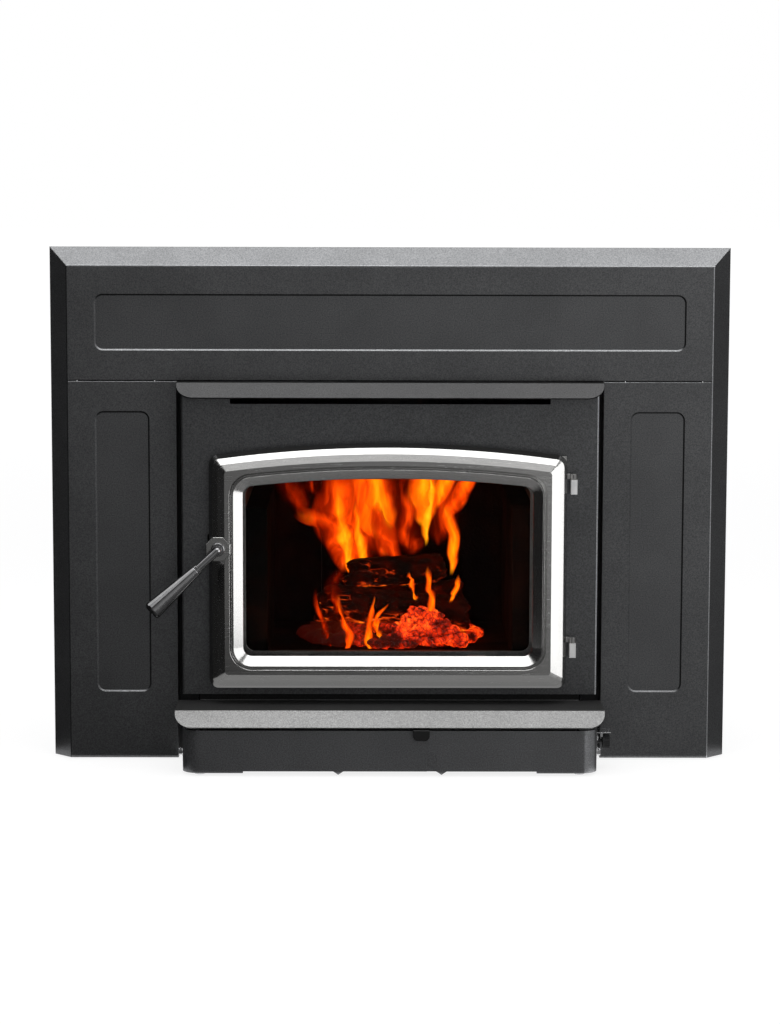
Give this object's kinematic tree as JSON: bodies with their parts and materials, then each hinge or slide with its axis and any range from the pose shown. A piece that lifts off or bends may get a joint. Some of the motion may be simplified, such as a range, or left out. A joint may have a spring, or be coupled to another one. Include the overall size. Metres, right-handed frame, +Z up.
{
  "type": "fireplace insert",
  "caption": "Wood-burning fireplace insert with an arched glass door, a bevelled surround, an ash lip and a blower under it.",
  "frame": {"origin": "on the hearth, midway across the width and the depth of the whole object", "axes": "+X to the viewer's right, +Y away from the viewer into the chimney, +Z up"},
  "size_m": [1.016, 0.536, 0.771],
  "materials": {
    "surround_paint": "fine-grained metallic charcoal paint",
    "body_paint": "satin charcoal stove paint",
    "lip_paint": "metallic grey paint",
    "door_metal": "satin nickel-finished casting",
    "black_chrome": "polished black nickel",
    "plated": "bright zinc plate",
    "bare_steel": "mill-finished steel",
    "jacket_zinc": "galvanised sheet",
    "firebox_steel": "heat-stained black steel",
    "tube_steel": "heat-blued stainless steel",
    "brick": "soot-stained fire brick",
    "hearth_casting": "rough cast iron",
    "board": "fibrous insulating board",
    "glass": "clear heat-proof glass",
    "tape": "woven glass fibre",
    "black_plastic": "black moulded plastic",
    "motor_steel": "black-painted laminations",
    "rotor_metal": "bare aluminium",
    "embers": "glowing coals and ash",
    "bark": "charred split wood"
  },
  "bodies": {
    "body": {"surround_right_panel": "surround_paint", "surround_left_panel": "surround_paint", "surround_top_panel": "surround_paint", "border_right": "surround_paint", "border_left": "surround_paint", "border_top": "surround_paint", "surround_brackets": "bare_steel", "sheet_screws": "plated", "front_plate": "body_paint", "top_lip": "lip_paint", "ash_lip": "lip_paint", "ash_lip_gussets": "body_paint", "jacket_right": "jacket_zinc", "jacket_left": "jacket_zinc", "jacket_back": "jacket_zinc", "jacket_top": "jacket_zinc", "base_pan": "jacket_zinc", "levelling_bolts": "plated", "firebox_right_wall": "firebox_steel", "firebox_left_wall": "firebox_steel", "firebox_back_wall": "firebox_steel", "firebox_floor": "firebox_steel", "firebox_top": "firebox_steel", "flue_collar": "firebox_steel", "floor_bricks": "brick", "right_bricks": "brick", "left_bricks": "brick", "back_bricks": "brick", "hearth_sill": "hearth_casting", "air_tubes": "tube_steel", "baffle_board": "board", "air_duct": "firebox_steel", "blower_housing": "body_paint", "clamp_bolts": "plated", "fan_motor": "motor_steel", "fan_scrolls": "jacket_zinc", "fan_bracket": "jacket_zinc", "control_plate": "plated", "speed_control": "black_plastic", "power_inlet": "black_plastic", "hinge_lugs": "plated", "hinge_pins": "plated", "latch_strike": "bare_steel", "ember_bed": "embers", "burning_logs": "bark"},
    "door": {"door_frame": "door_metal", "door_glass": "glass", "glass_tape": "tape", "door_rope": "tape", "latch_boss": "door_metal", "glass_clips": "bare_steel", "clip_screws": "plated", "hinge_arms": "bare_steel"},
    "handle": {"handle_rod": "black_chrome", "handle_grip": "black_chrome", "latch_cam": "bare_steel"},
    "air_control": {"air_control_bar": "bare_steel", "air_control_knob": "black_plastic"},
    "fan_speed_knob": {"speed_knob": "black_plastic"},
    "fan": {"fan_rotor": "rotor_metal"}
  },
  "joints": [
    {"name": "door_hinge", "type": "hinge", "parent": "body", "child": "door", "pos_m": [0.2725, -0.18, 0.164], "axis": [0, 0, 1], "range_deg": [0, 110]},
    {"name": "handle_turn", "type": "hinge", "parent": "door", "child": "handle", "pos_m": [-0.254, -0.2076, 0.329], "axis": [0, 1, 0], "range_deg": [-20, 70]},
    {"name": "air_slide", "type": "slide", "parent": "body", "child": "air_control", "axis": [1, 0, 0], "range_m": [-0.06, 0.03]},
    {"name": "fan_speed", "type": "hinge", "parent": "body", "child": "fan_speed_knob", "pos_m": [0.321, -0.2, 0.041], "axis": [1, 0, 0], "range_deg": [0, 270]},
    {"name": "fan_spin", "type": "hinge", "parent": "body", "child": "fan", "pos_m": [0, -0.212, 0.039], "axis": [1, 0, 0], "continuous": true}
  ]
}
